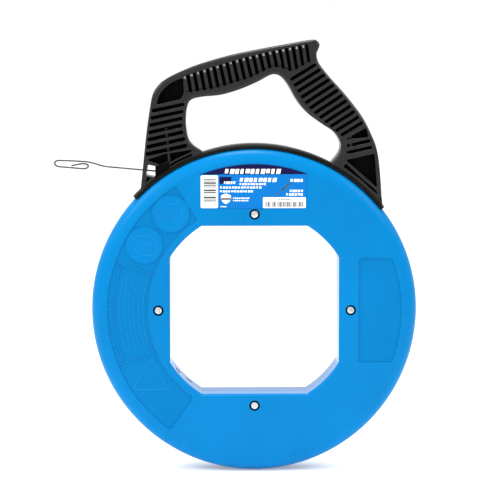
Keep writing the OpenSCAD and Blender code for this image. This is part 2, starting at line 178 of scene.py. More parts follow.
class FishTapeCaseSettings(bpy.types.PropertyGroup):
    """Sizes and colour of the case"""

    plastic: bpy.props.FloatVectorProperty(
        name="Case plastic", description="Colour of the case plastic",
        subtype="COLOR", size=3, min=0, max=1, default=(0.0, 0.165, 0.425),
    )
    shoulder: bpy.props.FloatProperty(
        name="Shoulder", description="Radius of the rounded shoulder of the case",
        unit="LENGTH", default=15.5 * MM,
    )
    wall: bpy.props.FloatProperty(
        name="Wall", description="Thickness of the case wall", unit="LENGTH", default=2.8 * MM,
    )
    rim_slot: bpy.props.FloatProperty(
        name="Rim slot", description="Width of the slot between the two halves",
        unit="LENGTH", default=9.2 * MM,
    )
    opening_width: bpy.props.FloatProperty(
        name="Opening width", description="Width of the winding opening across its flats",
        unit="LENGTH", default=167 * MM,
    )
    opening_corner: bpy.props.FloatProperty(
        name="Opening corner", description="Radius of the arcs that cut the opening's corners",
        unit="LENGTH", default=98.5 * MM,
    )
    opening_edge: bpy.props.FloatProperty(
        name="Opening edge", description="Rounding of the edge of the opening",
        unit="LENGTH", default=4 * MM,
    )
    panel_depth: bpy.props.FloatProperty(
        name="Panel depth", description="Depth of the sunken side panels",
        unit="LENGTH", default=0.8 * MM,
    )


class FishTapeHandleSettings(bpy.types.PropertyGroup):
    """Sizes and colour of the handle"""

    plastic: bpy.props.FloatVectorProperty(
        name="Handle plastic", description="Colour of the handle plastic",
        subtype="COLOR", size=3, min=0, max=1, default=(0.0085, 0.0085, 0.009),
    )
    edge_round: bpy.props.FloatProperty(
        name="Edge rounding", description="Rounding of the outer edges of the handle",
        unit="LENGTH", default=3.2 * MM,
    )
    slot_width: bpy.props.FloatProperty(
        name="Slot width", description="Width of the slots in the legs",
        unit="LENGTH", default=3.1 * MM,
    )
    grip_slot_width: bpy.props.FloatProperty(
        name="Grip slot width", description="Width of the slots in the grip",
        unit="LENGTH", default=2.9 * MM,
    )
    web: bpy.props.FloatProperty(
        name="Web", description="Thickness of the web between the front and rear slots",
        unit="LENGTH", default=5 * MM,
    )
    lip: bpy.props.FloatProperty(
        name="Slot lip", description="Rounding of the slot edges", unit="LENGTH", default=0.5 * MM,
    )
    grip_rib: bpy.props.FloatProperty(
        name="Grip rib height", description="How far the ribs of the grip stand above the frame",
        unit="LENGTH", default=2.3 * MM,
    )
    rib_setback: bpy.props.FloatProperty(
        name="Rib setback", description="Distance from the top of a grip slot to its ribs' ends",
        unit="LENGTH", default=0.3 * MM,
    )
    leg_rib: bpy.props.FloatProperty(
        name="Leg rib height", description="How far the ribs of the legs stand above the frame",
        unit="LENGTH", default=0.7 * MM,
    )


class FishTapeTapeSettings(bpy.types.PropertyGroup):
    """Sizes and colour of the tape"""

    steel: bpy.props.FloatVectorProperty(
        name="Tape steel", description="Colour of the blued steel tape",
        subtype="COLOR", size=3, min=0, max=1, default=(0.075, 0.08, 0.09),
    )
    width: bpy.props.FloatProperty(
        name="Tape width", description="Width of the tape", unit="LENGTH", default=3.2 * MM,
    )
    thickness: bpy.props.FloatProperty(
        name="Tape thickness", description="Thickness of the tape", unit="LENGTH", default=1.5 * MM,
    )
    columns: bpy.props.IntProperty(
        name="Columns", description="Turns side by side in one layer of the coil", default=8,
    )
    layers: bpy.props.IntProperty(
        name="Layers", description="Layers of turns in the coil", default=13,
    )


class FishTapeLabelSettings(bpy.types.PropertyGroup):
    """Colours of the label"""

    field: bpy.props.FloatVectorProperty(
        name="Label field", description="Colour of the printed field",
        subtype="COLOR", size=3, min=0, max=1, default=(0.0, 0.142, 0.455),
    )
    band: bpy.props.FloatVectorProperty(
        name="Label band", description="Colour of the dark band along the top",
        subtype="COLOR", size=3, min=0, max=1, default=(0.004, 0.003, 0.045),
    )


class FishTapeStageSettings(bpy.types.PropertyGroup):
    """The floor, the light and the camera"""

    distance: bpy.props.FloatProperty(
        name="Camera distance", description="Distance from the camera to its target",
        unit="LENGTH", default=2.0,
    )
    azimuth: bpy.props.FloatProperty(
        name="Camera azimuth", description="How far the camera stands to the right of the front",
        subtype="ANGLE", default=math.radians(-1.13),
    )
    elevation: bpy.props.FloatProperty(
        name="Camera elevation", description="Height of the camera above the horizon",
        subtype="ANGLE", default=math.radians(5.03),
    )
    lens: bpy.props.FloatProperty(
        name="Lens", description="Focal length of the camera, in millimetres", default=144.2,
    )
    backdrop: bpy.props.FloatVectorProperty(
        name="Backdrop", description="Colour of the floor and of the surrounding light",
        subtype="COLOR", size=3, min=0, max=1, default=(0.975, 0.975, 0.975),
    )


# Outlines


def polar(radius, angle):
    """The point at a radius from the case axis and an angle from +X towards +Z."""
    return radius * math.cos(math.radians(angle)), radius * math.sin(math.radians(angle))


def arc(centre, radius, start, end, steps):
    """Points along an arc, both ends included."""
    points = []
    for i in range(steps + 1):
        x, z = polar(radius, start + (end - start) * i / steps)
        points.append((centre[0] + x, centre[1] + z))
    return points


def smooth(points, steps):
    """A smooth curve through a list of points, from the first to the last."""
    curve = []
    last = len(points) - 1
    for i in range(last):
        a, b, c, d = (
            Vector(points[k]) for k in (max(i - 1, 0), i, i + 1, min(i + 2, last))
        )
        for step in range(steps):
            t = step / steps
            curve.append(
                0.5 * (2 * b + (c - a) * t + (2 * a - 5 * b + 4 * c - d) * t * t
                       + (3 * b - a - 3 * c + d) * t * t * t)
            )
    curve.append(Vector(points[last]))
    return [tuple(point) for point in curve]


def spread(points, count):
    """Count points at equal shares of a smooth curve through a few points."""
    fine = smooth(points, 24)
    lengths = [0]
    for a, b in zip(fine, fine[1:]):
        lengths.append(lengths[-1] + math.dist(a, b))
    found = []
    for i in range(count):
        wanted = lengths[-1] * i / (count - 1)
        k = max(j for j, length in enumerate(lengths) if length <= wanted + 1e-9)
        k = min(k, len(fine) - 2)
        share = (wanted - lengths[k]) / (lengths[k + 1] - lengths[k])
        found.append(tuple(Vector(fine[k]).lerp(Vector(fine[k + 1]), share)))
    return found


def slot_outline(start, end, width):
    """A slot with round ends, from tip to tip."""
    lean = math.degrees(math.atan2(end[1] - start[1], end[0] - start[0]))
    half = width / 2
    direction = Vector(polar(half, lean))
    first = Vector(start) + direction
    second = Vector(end) - direction
    return arc(second, half, lean - 90, lean + 90, 6) + arc(first, half, lean + 90, lean + 270, 6)


def rounded_outline(points, radius):
    """An outline with its corners rounded."""
    steps = 4
    rounded = []
    for i, point in enumerate(points):
        corner = Vector(point)
        before = Vector(points[i - 1])
        after = Vector(points[(i + 1) % len(points)])
        reach = min(radius, (before - corner).length * 0.45, (after - corner).length * 0.45)
        first = corner + (before - corner).normalized() * reach
        last = corner + (after - corner).normalized() * reach
        for step in range(steps + 1):
            t = step / steps
            rounded.append(tuple(first.lerp(corner, t).lerp(corner.lerp(last, t), t)))
    return rounded


def grown(points, distance):
    """An anticlockwise outline moved outwards, or inwards by a negative distance."""
    moved = []
    for i, point in enumerate(points):
        here = Vector(point)
        before = (here - Vector(points[i - 1])).normalized()
        after = (Vector(points[(i + 1) % len(points)]) - here).normalized()
        out = Vector((before.y + after.y, -before.x - after.x))
        moved.append(tuple(here + out * distance / max(0.5, out.length_squared / 2)))
    return moved


def box_outline(left, bottom, right, top, radius=0.0):
    """A rectangle, with rounded corners if it has a radius."""
    corners = [(left, bottom), (right, bottom), (right, top), (left, top)]
    return rounded_outline(corners, radius) if radius else corners


def sector(inner, outer, start, end, radius):
    """The part of a ring between two angles, with its corners rounded."""
    steps = int((end - start) / 2)
    outer_part = arc((0, 0), outer, start + 1.2, end - 1.2, steps)
    inner_part = arc((0, 0), inner, end - 1.6, start + 1.6, steps)
    corners = [
        [polar(outer - radius * 0.3, end - 0.35), polar(outer - radius, end)],
        [polar(inner + radius, end), polar(inner + radius * 0.3, end - 0.45)],
        [polar(inner + radius * 0.3, start + 0.45), polar(inner + radius, start)],
        [polar(outer - radius, start), polar(outer - radius * 0.3, start + 0.35)],
    ]
    return outer_part + corners[0] + corners[1] + inner_part + corners[2] + corners[3]


def opening_outline(flat, radius):
    """The winding opening: four flats joined by four arcs."""
    lean = math.degrees(math.acos(flat / radius))
    points = []
    for quarter in range(4):
        points += arc((0, 0), radius, quarter * 90 + lean, quarter * 90 + 90 - lean, 14)
    return points


# Solids


def prism(points, front, rear):
    """A solid of an X-Z outline between two depths."""
    bm = bmesh.new()
    face = bm.faces.new([bm.verts.new((x, front, z)) for x, z in points])
    made = bmesh.ops.extrude_face_region(bm, geom=[face])
    moved = [item for item in made["geom"] if isinstance(item, bmesh.types.BMVert)]
    bmesh.ops.translate(bm, verts=moved, vec=(0, rear - front, 0))
    bmesh.ops.recalc_face_normals(bm, faces=bm.faces)
    return bm


def turned(section, closed=True, steps=SPIN_STEPS):
    """A radius-depth section turned fully round the Y axis."""
    bm = bmesh.new()
    verts = [bm.verts.new((radius, depth, 0)) for radius, depth in section]
    edges = [bm.edges.new(pair) for pair in zip(verts, verts[1:])]
    if closed:
        edges.append(bm.edges.new((verts[-1], verts[0])))
    bmesh.ops.spin(
        bm, geom=verts + edges, cent=(0, 0, 0), axis=(0, -1, 0), angle=math.tau,
        steps=steps, use_merge=True,
    )
    bmesh.ops.remove_doubles(bm, verts=bm.verts, dist=0.0005)
    bmesh.ops.recalc_face_normals(bm, faces=bm.faces)
    return bm


def arched(section, start, end, steps):
    """A radius-depth section turned from one angle to another, with closed ends."""
    bm = bmesh.new()
    face = bm.faces.new([bm.verts.new((radius, depth, 0)) for radius, depth in section])
    bmesh.ops.rotate(
        bm, verts=bm.verts, cent=(0, 0, 0), matrix=Matrix.Rotation(-math.radians(start), 3, "Y")
    )
    bmesh.ops.spin(
        bm, geom=list(face.verts) + list(face.edges) + [face], cent=(0, 0, 0),
        axis=(0, -1, 0), angle=math.radians(end - start), steps=steps,
    )
    bmesh.ops.recalc_face_normals(bm, faces=bm.faces)
    return bm


def lofted(rings):
    """A solid through closed rings of points, with flat ends."""
    bm = bmesh.new()
    loops = []
    for ring in rings:
        verts = [bm.verts.new(point) for point in ring]
        loops.append([bm.edges.new(pair) for pair in zip(verts, verts[1:] + verts[:1])])
    for first, second in zip(loops, loops[1:]):
        bmesh.ops.bridge_loops(bm, edges=first + second)
    bmesh.ops.holes_fill(bm, edges=loops[0] + loops[-1], sides=0)
    bmesh.ops.recalc_face_normals(bm, faces=bm.faces)
    return bm


def joined(parts):
    """Several solids in one bmesh."""
    mesh = bpy.data.meshes.new("working")
    whole = bmesh.new()
    for part in parts:
        part.to_mesh(mesh)
        part.free()
        whole.from_mesh(mesh)
    bpy.data.meshes.remove(mesh)
    return whole


def combined(bm, other):
    """A solid with another one cut from it."""
    pair = []
    for source in (bm, other):
        mesh = bpy.data.meshes.new("working")
        source.to_mesh(mesh)
        source.free()
        pair.append(bpy.data.objects.new("working", mesh))
        bpy.context.scene.collection.objects.link(pair[-1])
    change = pair[0].modifiers.new("change", "BOOLEAN")
    change.operation = "DIFFERENCE"
    change.solver = "EXACT"
    change.object = pair[1]
    bpy.context.view_layer.update()
    evaluated = pair[0].evaluated_get(bpy.context.evaluated_depsgraph_get())
    result = bmesh.new()
    result.from_mesh(evaluated.to_mesh())
    evaluated.to_mesh_clear()
    for item in pair:
        mesh = item.data
        bpy.data.objects.remove(item)
        bpy.data.meshes.remove(mesh)
    bmesh.ops.remove_doubles(result, verts=result.verts, dist=0.002)
    bmesh.ops.dissolve_degenerate(result, edges=result.edges, dist=0.002)
    result.normal_update()
    return result


def flatten_coplanar(bm):
    """Joins the faces that lie in one plane."""
    bmesh.ops.dissolve_limit(
        bm, angle_limit=math.radians(0.05), verts=bm.verts, edges=bm.edges, delimit=set()
    )
    bm.normal_update()


def sharp_edges(bm, where, at_least=40, convex=None):
    """The sharp edges whose middle a test accepts."""
    bm.normal_update()
    found = []
    for edge in bm.edges:
        if len(edge.link_faces) != 2 or edge.calc_face_angle(0) < math.radians(at_least):
            continue
        if convex is not None and edge.is_convex != convex:
            continue
        if where((edge.verts[0].co + edge.verts[1].co) / 2):
            found.append(edge)
    return found


def round_off(bm, edges, width, segments=2):
    """Rounds edges."""
    bmesh.ops.bevel(
        bm, geom=edges, offset=width, offset_type="OFFSET", segments=segments, profile=0.5,
        affect="EDGES", material=-1, clamp_overlap=False,
    )
    bm.normal_update()


def paint_faces(bm, index, where):
    """Gives the faces that a test accepts another material slot."""
    for face in bm.faces:
        if where(face.calc_center_median(), face.normal):
            face.material_index = index


def mirrored(bm):
    """The same solid on the other side of the middle plane."""
    bmesh.ops.scale(bm, verts=bm.verts, vec=(1, -1, 1))
    bmesh.ops.reverse_faces(bm, faces=bm.faces)
    return bm


def finish_piece(bm, name, body, materials, nodes):
    """Makes the object, in metres, ties it to its body and hides the nodes that it replaces."""
    bmesh.ops.scale(bm, verts=bm.verts, vec=(MM, MM, MM))
    mesh = bpy.data.meshes.new(name)
    bm.to_mesh(mesh)
    bm.free()
    for material in materials:
        mesh.materials.append(material)
    mesh.shade_smooth()
    mesh.set_sharp_from_angle(angle=math.radians(32))
    piece = bpy.data.objects.new(name, mesh)
    bpy.context.scene.collection.objects.link(piece)
    weighted = piece.modifiers.new("weighted", "WEIGHTED_NORMAL")
    weighted.keep_sharp = True
    weighted.weight = 90
    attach(piece, body)
    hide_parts(*nodes)


def rounded_copy(node, body, material, width):
    """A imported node's own shape, merged, with its edges rounded."""
    bm = bmesh.new()
    bm.from_mesh(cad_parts[node].data)
    bmesh.ops.scale(bm, verts=bm.verts, vec=(1 / MM, 1 / MM, 1 / MM))
    bmesh.ops.remove_doubles(bm, verts=bm.verts, dist=0.002)
    paint_faces(bm, 0, lambda middle, normal: True)
    flatten_coplanar(bm)
    round_off(bm, sharp_edges(bm, lambda middle: True), width)
    finish_piece(bm, node + "_finished", body, [material], [node])


# Materials


def shader(name):
    """A new material with its Principled shader and the object's own coordinates."""
    material = bpy.data.materials.new(name)
    material.use_nodes = True
    nodes = material.node_tree.nodes
    principled = nodes["Principled BSDF"]
    place = nodes.new("ShaderNodeTexCoord")
    return material, principled, place.outputs["Object"]


def noise(material, place, scale, detail=4.0, roughness=0.55, stretch=None):
    """A noise on the object's coordinates, stretched along an axis if asked."""
    tree = material.node_tree
    if stretch:
        mapping = tree.nodes.new("ShaderNodeMapping")
        mapping.inputs["Scale"].default_value = stretch
        tree.links.new(place, mapping.inputs["Vector"])
        place = mapping.outputs["Vector"]
    texture = tree.nodes.new("ShaderNodeTexNoise")
    texture.inputs["Scale"].default_value = scale
    texture.inputs["Detail"].default_value = detail
    texture.inputs["Roughness"].default_value = roughness
    tree.links.new(place, texture.inputs["Vector"])
    return texture.outputs["Fac"]


def remap(material, value, low, high):
    """The middle range of a texture value spread between two numbers."""
    node = material.node_tree.nodes.new("ShaderNodeMapRange")
    node.inputs["From Min"].default_value = 0.3
    node.inputs["From Max"].default_value = 0.7
    node.inputs["To Min"].default_value = low
    node.inputs["To Max"].default_value = high
    material.node_tree.links.new(value, node.inputs["Value"])
    return node.outputs["Result"]


def blend_colours(material, share, first, second):
    """A colour between two, as a value says."""
    node = material.node_tree.nodes.new("ShaderNodeMix")
    node.data_type = "RGBA"
    node.inputs["A"].default_value = (*first, 1)
    node.inputs["B"].default_value = (*second, 1)
    material.node_tree.links.new(share, node.inputs["Factor"])
    return node.outputs["Result"]


def emboss(material, height, strength, distance, below=None):
    """A bump from a height, on top of another bump if there is one."""
    node = material.node_tree.nodes.new("ShaderNodeBump")
    node.inputs["Strength"].default_value = strength
    node.inputs["Distance"].default_value = distance
    material.node_tree.links.new(height, node.inputs["Height"])
    if below:
        material.node_tree.links.new(below, node.inputs["Normal"])
    return node.outputs["Normal"]


def shade(colour, factor):
    """A colour made darker or lighter."""
    return tuple(min(1.0, channel * factor) for channel in colour)


def painted_highlight_colour(colour):
    """A paler copy of a colour: the painted highlight of the thin moulded ridges."""
    return tuple(channel + (0.7 - channel) * 0.012 for channel in shade(colour, 1.12))


def moulded_plastic(name, colour, roughness, grain, grain_scale, gloss):
    """Injection-moulded plastic: faint flow marks, a fine grain and handling scuffs."""
    material, principled, place = shader(name)
    tree = material.node_tree
    flow = noise(material, place, 14, 3)
    tint = blend_colours(
        material, remap(material, flow, 0, 1), shade(colour, 0.94), shade(colour, 1.05)
    )
    tree.links.new(tint, principled.inputs["Base Color"])
    scuffs = noise(material, place, 260, 6, 0.7, (1, 1, 0.25))
    tree.links.new(
        remap(material, scuffs, roughness * 0.85, roughness * 1.25), principled.inputs["Roughness"]
    )
    fine = noise(material, place, grain_scale, 2)
    wave = noise(material, place, 60, 2)
    orange_peel = emboss(material, wave, 0.12, 0.0006)
    tree.links.new(emboss(material, fine, grain, 0.0002, orange_peel), principled.inputs["Normal"])
    principled.inputs["Specular IOR Level"].default_value = gloss
    return material


def brushed_metal(name, colour, roughness, stretch):
    """Bare or plated steel with fine drawn lines and stains."""
    material, principled, place = shader(name)
    tree = material.node_tree
    stains = noise(material, place, 90, 5, 0.65)
    tint = blend_colours(
        material, remap(material, stains, 0, 1), shade(colour, 0.72), shade(colour, 1.2)
    )
    tree.links.new(tint, principled.inputs["Base Color"])
    lines = noise(material, place, 900, 3, 0.6, stretch)
    tree.links.new(
        remap(material, lines, roughness * 0.8, roughness * 1.35), principled.inputs["Roughness"]
    )
    tree.links.new(emboss(material, lines, 0.25, 0.00012), principled.inputs["Normal"])
    principled.inputs["Metallic"].default_value = 1.0
    return material


def printed_film(name, colour):
    """Printed label film: slightly uneven ink under a clear gloss layer."""
    material, principled, place = shader(name)
    tree = material.node_tree
    ink = noise(material, place, 700, 2)
    tint = blend_colours(
        material, remap(material, ink, 0, 1), shade(colour, 0.95), shade(colour, 1.04)
    )
    tree.links.new(tint, principled.inputs["Base Color"])
    ripple = noise(material, place, 45, 2)
    tree.links.new(emboss(material, ripple, 0.1, 0.0005), principled.inputs["Normal"])
    principled.inputs["Roughness"].default_value = 0.32
    principled.inputs["Specular IOR Level"].default_value = 0.1
    return material


def kept_materials(context):
    """The finishes of the whole reel, made once."""
    blue = context.scene.fish_tape_case.plastic
    black = context.scene.fish_tape_handle.plastic
    wanted = {
        "case_gloss": lambda: moulded_plastic("case_gloss", blue, 0.26, 0.05, 1500, 0.055),
        "case_texture": lambda: moulded_plastic(
            "case_texture", shade(blue, 0.92), 0.45, 0.35, 2400, 0.05
        ),
        # Painted highlight: a paler copy of the case blue for the thin moulded ridges and marks
        "case_ridge_highlight": lambda: moulded_plastic(
            "case_ridge_highlight", painted_highlight_colour(blue), 0.35, 0.05, 1500, 0.06
        ),
        # Painted sheen: a paler, glossier copy of the case blue stands in for the white surroundings
        # reflected in the wall of the opening
        "case_wall": lambda: moulded_plastic(
            "case_wall", shade(blue, 1.25), 0.2, 0.0, 1500, 0.55
        ),
        # Painted shade: a dark navy copy of the case blue for the screw recesses and the anchor slots
        "case_recess_painted_shade": lambda: moulded_plastic(
            "case_recess_painted_shade", shade(blue, 0.18), 0.6, 0.05, 1500, 0.03
        ),
        "handle_nylon": lambda: moulded_plastic("handle_nylon", black, 0.28, 0.2, 2600, 0.26),
        # Painted shade: a darker, duller copy of the handle black for the deep faces of the slots
        "painted_shade_nylon": lambda: moulded_plastic(
            "painted_shade_nylon", shade(black, 0.4), 0.6, 0.2, 2600, 0.03
        ),
        "shoe_nylon": lambda: moulded_plastic(
            "shoe_nylon", shade(black, 0.45), 0.3, 0.2, 2600, 0.075
        ),
        "slide_plastic": lambda: moulded_plastic(
            "slide_plastic", (0.003, 0.003, 0.0033), 0.5, 0.15, 1800, 0.03
        ),
        "zinc_plate": lambda: brushed_metal("zinc_plate", (0.56, 0.57, 0.56), 0.3, (1, 1, 1)),
        "polished_steel": lambda: brushed_metal("polished_steel", (0.5, 0.51, 0.53), 0.25, (1, 6, 1)),
        "tape_steel": lambda: brushed_metal(
            "tape_steel", context.scene.fish_tape_tape.steel, 0.33, (0.06, 5, 1)
        ),
        "label_field": lambda: printed_film("label_field", context.scene.fish_tape_label.field),
        "label_band": lambda: printed_film("label_band", context.scene.fish_tape_label.band),
        "label_white": lambda: printed_film("label_white", (0.86, 0.86, 0.87)),
        "label_ink": lambda: printed_film("label_ink", (0.07, 0.068, 0.066)),
    }
    for name, make in wanted.items():
        if name not in bpy.data.materials:
            make()
    return {name: bpy.data.materials[name] for name in wanted}


# Case


def case_section(settings):
    """Radius-depth section of the front half: face, shoulder, rim, cavity and drum wall."""
    shoulder = settings.shoulder / MM
    wall = settings.wall / MM
    drum = settings.opening_corner / MM + DRUM_WALL
    centre = (CASE_RADIUS - shoulder, -(HALF_DEPTH - shoulder))
    rim = -settings.rim_slot / MM / 2
    return (
        [(70, -HALF_DEPTH)]
        + arc(centre, shoulder, -90, 0, 14)
        + [(CASE_RADIUS, rim), (CASE_RADIUS - wall, rim)]
        + arc(centre, shoulder - wall, 0, -90, 10)
        + [(drum, -(HALF_DEPTH - wall)), (drum, 0), (70, 0)]
    )


def case_shell(settings):
    """The front half with its winding opening, before the face details."""
    bm = turned(case_section(settings))
    flatten_coplanar(bm)
    flat = settings.opening_width / MM / 2
    corner = settings.opening_corner / MM
    bm = combined(bm, prism(opening_outline(flat, corner), -HALF_DEPTH - 5, 5))
    flatten_coplanar(bm)
    on_face = sharp_edges(
        bm, lambda m: m.y < -HALF_DEPTH + 0.01 and math.hypot(m.x, m.z) < corner + 1
    )
    round_off(bm, on_face, settings.opening_edge / MM, 6)
    seam = sharp_edges(bm, lambda m: m.y > -0.01 and math.hypot(m.x, m.z) < corner + 0.5)
    round_off(bm, seam, 0.35, 2)
    rim = sharp_edges(bm, lambda m: math.hypot(m.x, m.z) > CASE_RADIUS - 4)
    round_off(bm, rim, 0.6, 3)
    return bm


def panel_outer(settings):
    """Radius of the outer edge of both side panels."""
    return CASE_RADIUS - settings.shoulder / MM - 0.4


def disc(angle, radius, front, rear):
    """A round block over one of the discs on the left panel."""
    return prism(arc(polar(DISC_CIRCLE, angle), radius, 0, 355, 71), front, rear)


def panel_cutters(settings):
    """What is cut from the face for the side panels and the discs on them."""
    low = -HALF_DEPTH - 2
    floor = -HALF_DEPTH + settings.panel_depth / MM
    outer = panel_outer(settings)
    kept = joined([disc(angle, DISC_RADIUS, low - 1, floor + 1) for angle in DISC_ANGLES])
    parts = [combined(prism(sector(PANEL_INNER, outer, *LEFT_PANEL_ANGLES, 3), low, floor), kept)]
    for angle in DISC_ANGLES:
        parts.append(disc(angle, DISC_RADIUS - 0.6, low, -HALF_DEPTH + DISC_DEPTH))
    side, half = RIGHT_PANEL_SIDE, RIGHT_PANEL_HALF
    reach = math.degrees(math.asin(half / outer))
    right = arc((0, 0), outer, -reach, reach, 24) + [(side, half), (side, -half)]
    parts.append(prism(rounded_outline(right, 3), low, floor))
    return parts


def label_shape(grow):
    """Outline of the label: straight sides and foot under a curved top."""
    left, right = LABEL_LOW.x - grow, LABEL_HIGH.x + grow
    foot, radius = LABEL_LOW.z - grow, LABEL_HIGH.z + grow
    first = math.degrees(math.acos(right / radius))
    last = math.degrees(math.acos(left / radius))
    top = arc((0, 0), radius, first, last, 40)
    return top + [
        (left, foot + 2), (left + 0.6, foot + 0.6), (left + 2, foot),
        (right - 2, foot), (right - 0.6, foot + 0.6), (right, foot + 2),
    ]


def bead(path, depth, height=0.25):
    """A low bead along a path on the front of the case, from a depth outwards."""
    width = 0.75
    rings = []
    for i, point in enumerate(path):
        before = Vector(path[max(i - 1, 0)])
        after = Vector(path[min(i + 1, len(path) - 1)])
        heading = (after - before).normalized()
        rings.append([
            (point[0] - heading.y * u, depth + v, point[1] + heading.x * u)
            for u, v in (
                (-width / 2, 0.2), (-width / 2, 0), (-width / 4, -height), (width / 4, -height),
                (width / 2, 0), (width / 2, 0.2),
            )
        ])
    return lofted(rings)


def panel_ridges(settings):
    """Paths of the thin ridges along the edges and the dividers of the side panels."""
    outer = panel_outer(settings)
    first, last = DIVIDER_ANGLES
    return [
        arc((0, 0), PANEL_INNER + 0.4, 124, 233, 60),
        arc((0, 0), 139.3, first + 0.5, last - 0.5, 24),
        [polar(106, first), polar(outer, first)],
        [polar(106, last), polar(outer, last)],
        [polar(108.7, 122.3), polar(outer - 3, 122.2)],
        [(103.2, 49), (103.2, -49)],
    ]


def panel_marks():
    """Paths of the low marks on the left panel: a strip of brackets, broken rows, a triangle."""
    marks = []
    for bracket in range(6):
        start = 171 + bracket * 4
        sides = [polar(141.4, start), polar(147.6, start), polar(147.6, start + 2.6)]
        if bracket % 2:
            sides.append(polar(141.4, start + 2.6))
        marks.append(sides)
    for row in range(6):
        radius = 110.5 + row * 4.6
        start = 165 + 1.1 * (row % 2)
        piece = 0
        while start < 196:
            length = 1.2 + 1.3 * ((row * 2 + piece * 3) % 4)
            marks.append(arc((0, 0), radius, start, start + length, 3))
            start += length + 0.9
            piece += 1
    triangle = rounded_outline([(-120.8, -78.7), (-102.7, -47.3), (-86, -78.8)], 3)
    marks.append(triangle + triangle[:1])
    return marks


def disc_reliefs():
    """Plain strokes on the two discs: (disc, path round its centre)."""
    shield = [(-11, 5), (-5, 9), (5, 8), (11, 2), (12, -7), (5, -10), (-6, -9), (-11, -3)]
    return [
        (0, arc((-10, 0), 4, 0, 350, 20)),
        (0, [(-8, -6), (-3, -2), (1, -4), (2, 4)]),
        (0, [(0, 9), (7, 9), (7, 2), (1, 2)]),
        (0, [(11, 7), (11, -4), (6, -11), (1, -8)]),
        (1, smooth(shield, 4)),
        (1, [(-3, -6), (5, 5)]),
        (1, [(0, -8), (8, 3)]),
    ]


def face_ribs(settings):
    """Everything moulded on the panels and discs of the front face."""
    floor = -HALF_DEPTH + settings.panel_depth / MM
    parts = [bead(path, floor, settings.panel_depth / MM - 0.04) for path in panel_ridges(settings)]
    parts += [bead(path, floor) for path in panel_marks()]
    for which, strokes in disc_reliefs():
        x, z = polar(DISC_CIRCLE, DISC_ANGLES[which])
        parts.append(bead([(x + u, z + v) for u, v in strokes], -HALF_DEPTH + DISC_DEPTH))
    # Painted highlight: every ridge and mark gets the paler edge finish
    for part in parts:
        for face in part.faces:
            face.material_index = RIDGE_HIGHLIGHT
    return parts


def in_opening_wall(middle, normal, settings):
    """Whether a face belongs to the wall of the winding opening."""
    inwards = Vector((middle.x, 0, middle.z)).normalized().dot(normal)
    reach = max(abs(middle.x), abs(middle.z))
    flat = settings.opening_width / MM / 2 + settings.opening_edge / MM
    corner = settings.opening_corner / MM + settings.opening_edge / MM
    return inwards < -0.95 and reach < flat + 0.1 and math.hypot(middle.x, middle.z) < corner


def cut_anchor_slot(bm, anchor, settings):
    """Cuts the slot for the tape's inner end in the wall of the opening, and paints shade into it."""
    angle, front, rear = anchor
    wall = settings.opening_corner / MM
    slot = prism(box_outline(-ANCHOR_HALF_LENGTH, -3, ANCHOR_HALF_LENGTH, 5), front, rear)
    bmesh.ops.rotate(
        slot, verts=slot.verts, cent=(0, 0, 0),
        matrix=Matrix.Rotation(math.radians(90 - angle), 3, "Y"),
    )
    x, z = polar(wall, angle)
    bmesh.ops.translate(slot, verts=slot.verts, vec=(x, 0, z))
    bm = combined(bm, slot)
    centre = polar(wall + 1.5, angle)
    middle = (front + rear) / 2
    # Painted shade: the faces inside the slot get the dark navy recess finish
    paint_faces(
        bm, PAINTED_SHADE,
        lambda m, n: math.dist((m.x, m.z), centre) < 4.2 and abs(m.y - middle) < 3.5 and (
            math.hypot(m.x, m.z) > wall + 0.2
        ),
    )
    return bm


def round_blocks(radius, points, depth):
    """Blocks at the four screws that cut a recess of a depth, with so many sides or steps."""
    return [
        prism(
            arc(polar(SCREW_CIRCLE, turn), radius, turn, turn + 360 - 360 / points, points - 1),
            -HALF_DEPTH - 2, -HALF_DEPTH + depth,
        )
        for turn in range(0, 360, 90)
    ]


def make_front_half(context):
    """The labelled half of the case."""
    settings = context.scene.fish_tape_case
    finishes = kept_materials(context)
    bm = case_shell(settings)
    label_floor = LABEL_HIGH.y
    screws = round_blocks(SCREW_RECESS_RADIUS, 36, SCREW_RECESS_DEPTH)
    label = prism(label_shape(0.3), -HALF_DEPTH - 2, label_floor)
    bm = combined(bm, joined(panel_cutters(settings) + screws + [label]))
    inner = settings.opening_corner / MM - 13
    outer = CASE_RADIUS - settings.shoulder / MM
    edges = sharp_edges(
        bm,
        lambda m: m.y < -HALF_DEPTH + 0.01 and inner < math.hypot(m.x, m.z) < outer,
        at_least=60,
    )
    round_off(bm, edges, 0.22, 2)
    floor = -HALF_DEPTH + settings.panel_depth / MM
    paint_faces(bm, TEXTURE, lambda m, n: abs(m.y - floor) < 0.02 and n.y < -0.9)
    # Painted shade: the faces round the screw heads get the dark navy recess finish
    paint_faces(
        bm, PAINTED_SHADE,
        lambda m, n: 0.5 < m.y + HALF_DEPTH < SCREW_RECESS_DEPTH + 0.1 and any(
            math.dist((m.x, m.z), polar(SCREW_CIRCLE, turn)) < SCREW_RECESS_RADIUS + 0.05
            for turn in range(0, 360, 90)
        ),
    )
    # Painted sheen: the wall of the opening gets the paler wall finish
    paint_faces(bm, PAINTED_SHEEN, lambda m, n: in_opening_wall(m, n, settings))
    bm = cut_anchor_slot(bm, FRONT_ANCHOR, settings)
    bm = joined([bm] + face_ribs(settings))
    finish_piece(
        bm, "front_case_shell", "reel",
        [finishes[name] for name in CASE_FINISHES],
        ["front_case"],
    )


